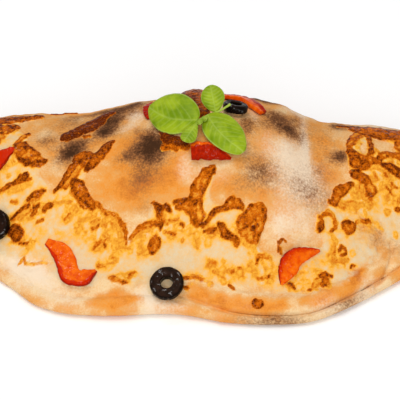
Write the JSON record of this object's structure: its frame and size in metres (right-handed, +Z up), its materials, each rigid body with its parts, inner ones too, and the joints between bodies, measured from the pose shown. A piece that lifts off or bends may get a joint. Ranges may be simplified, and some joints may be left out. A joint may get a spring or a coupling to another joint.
{
  "type": "calzone",
  "caption": "Baked half-moon calzone with a rounded pressed seam, melted browned cheese, red pepper strips, black olive rings and a basil sprig.",
  "frame": {"origin": "centre of the box's bottom, on the surface that the calzone rests on", "axes": "+X along the calzone from its left tip to its right tip, -Y towards the pressed seam at the front, +Y towards the fold, +Z up"},
  "size_m": [0.296, 0.1346, 0.0756],
  "materials": {
    "crust": "baked dough, matt, cream to golden with grey-brown scorched patches",
    "cheese": "melted cheese, cream-yellow with browned blisters, slightly glossy",
    "pepper": "roasted red pepper, glossy skin with orange cut flesh",
    "olive": "black olive, glossy",
    "basil": "fresh basil leaf, satin green"
  },
  "bodies": {
    "root": {"crust": "crust", "cheese": "cheese", "pepper_far_left": "pepper", "pepper_front_left": "pepper", "pepper_middle": "pepper", "pepper_front_right": "pepper", "pepper_crest_right": "pepper", "pepper_crest_left": "pepper", "olive_left": "olive", "olive_front": "olive", "olive_crest": "olive", "basil_sprig": "basil"}
  },
  "joints": []
}
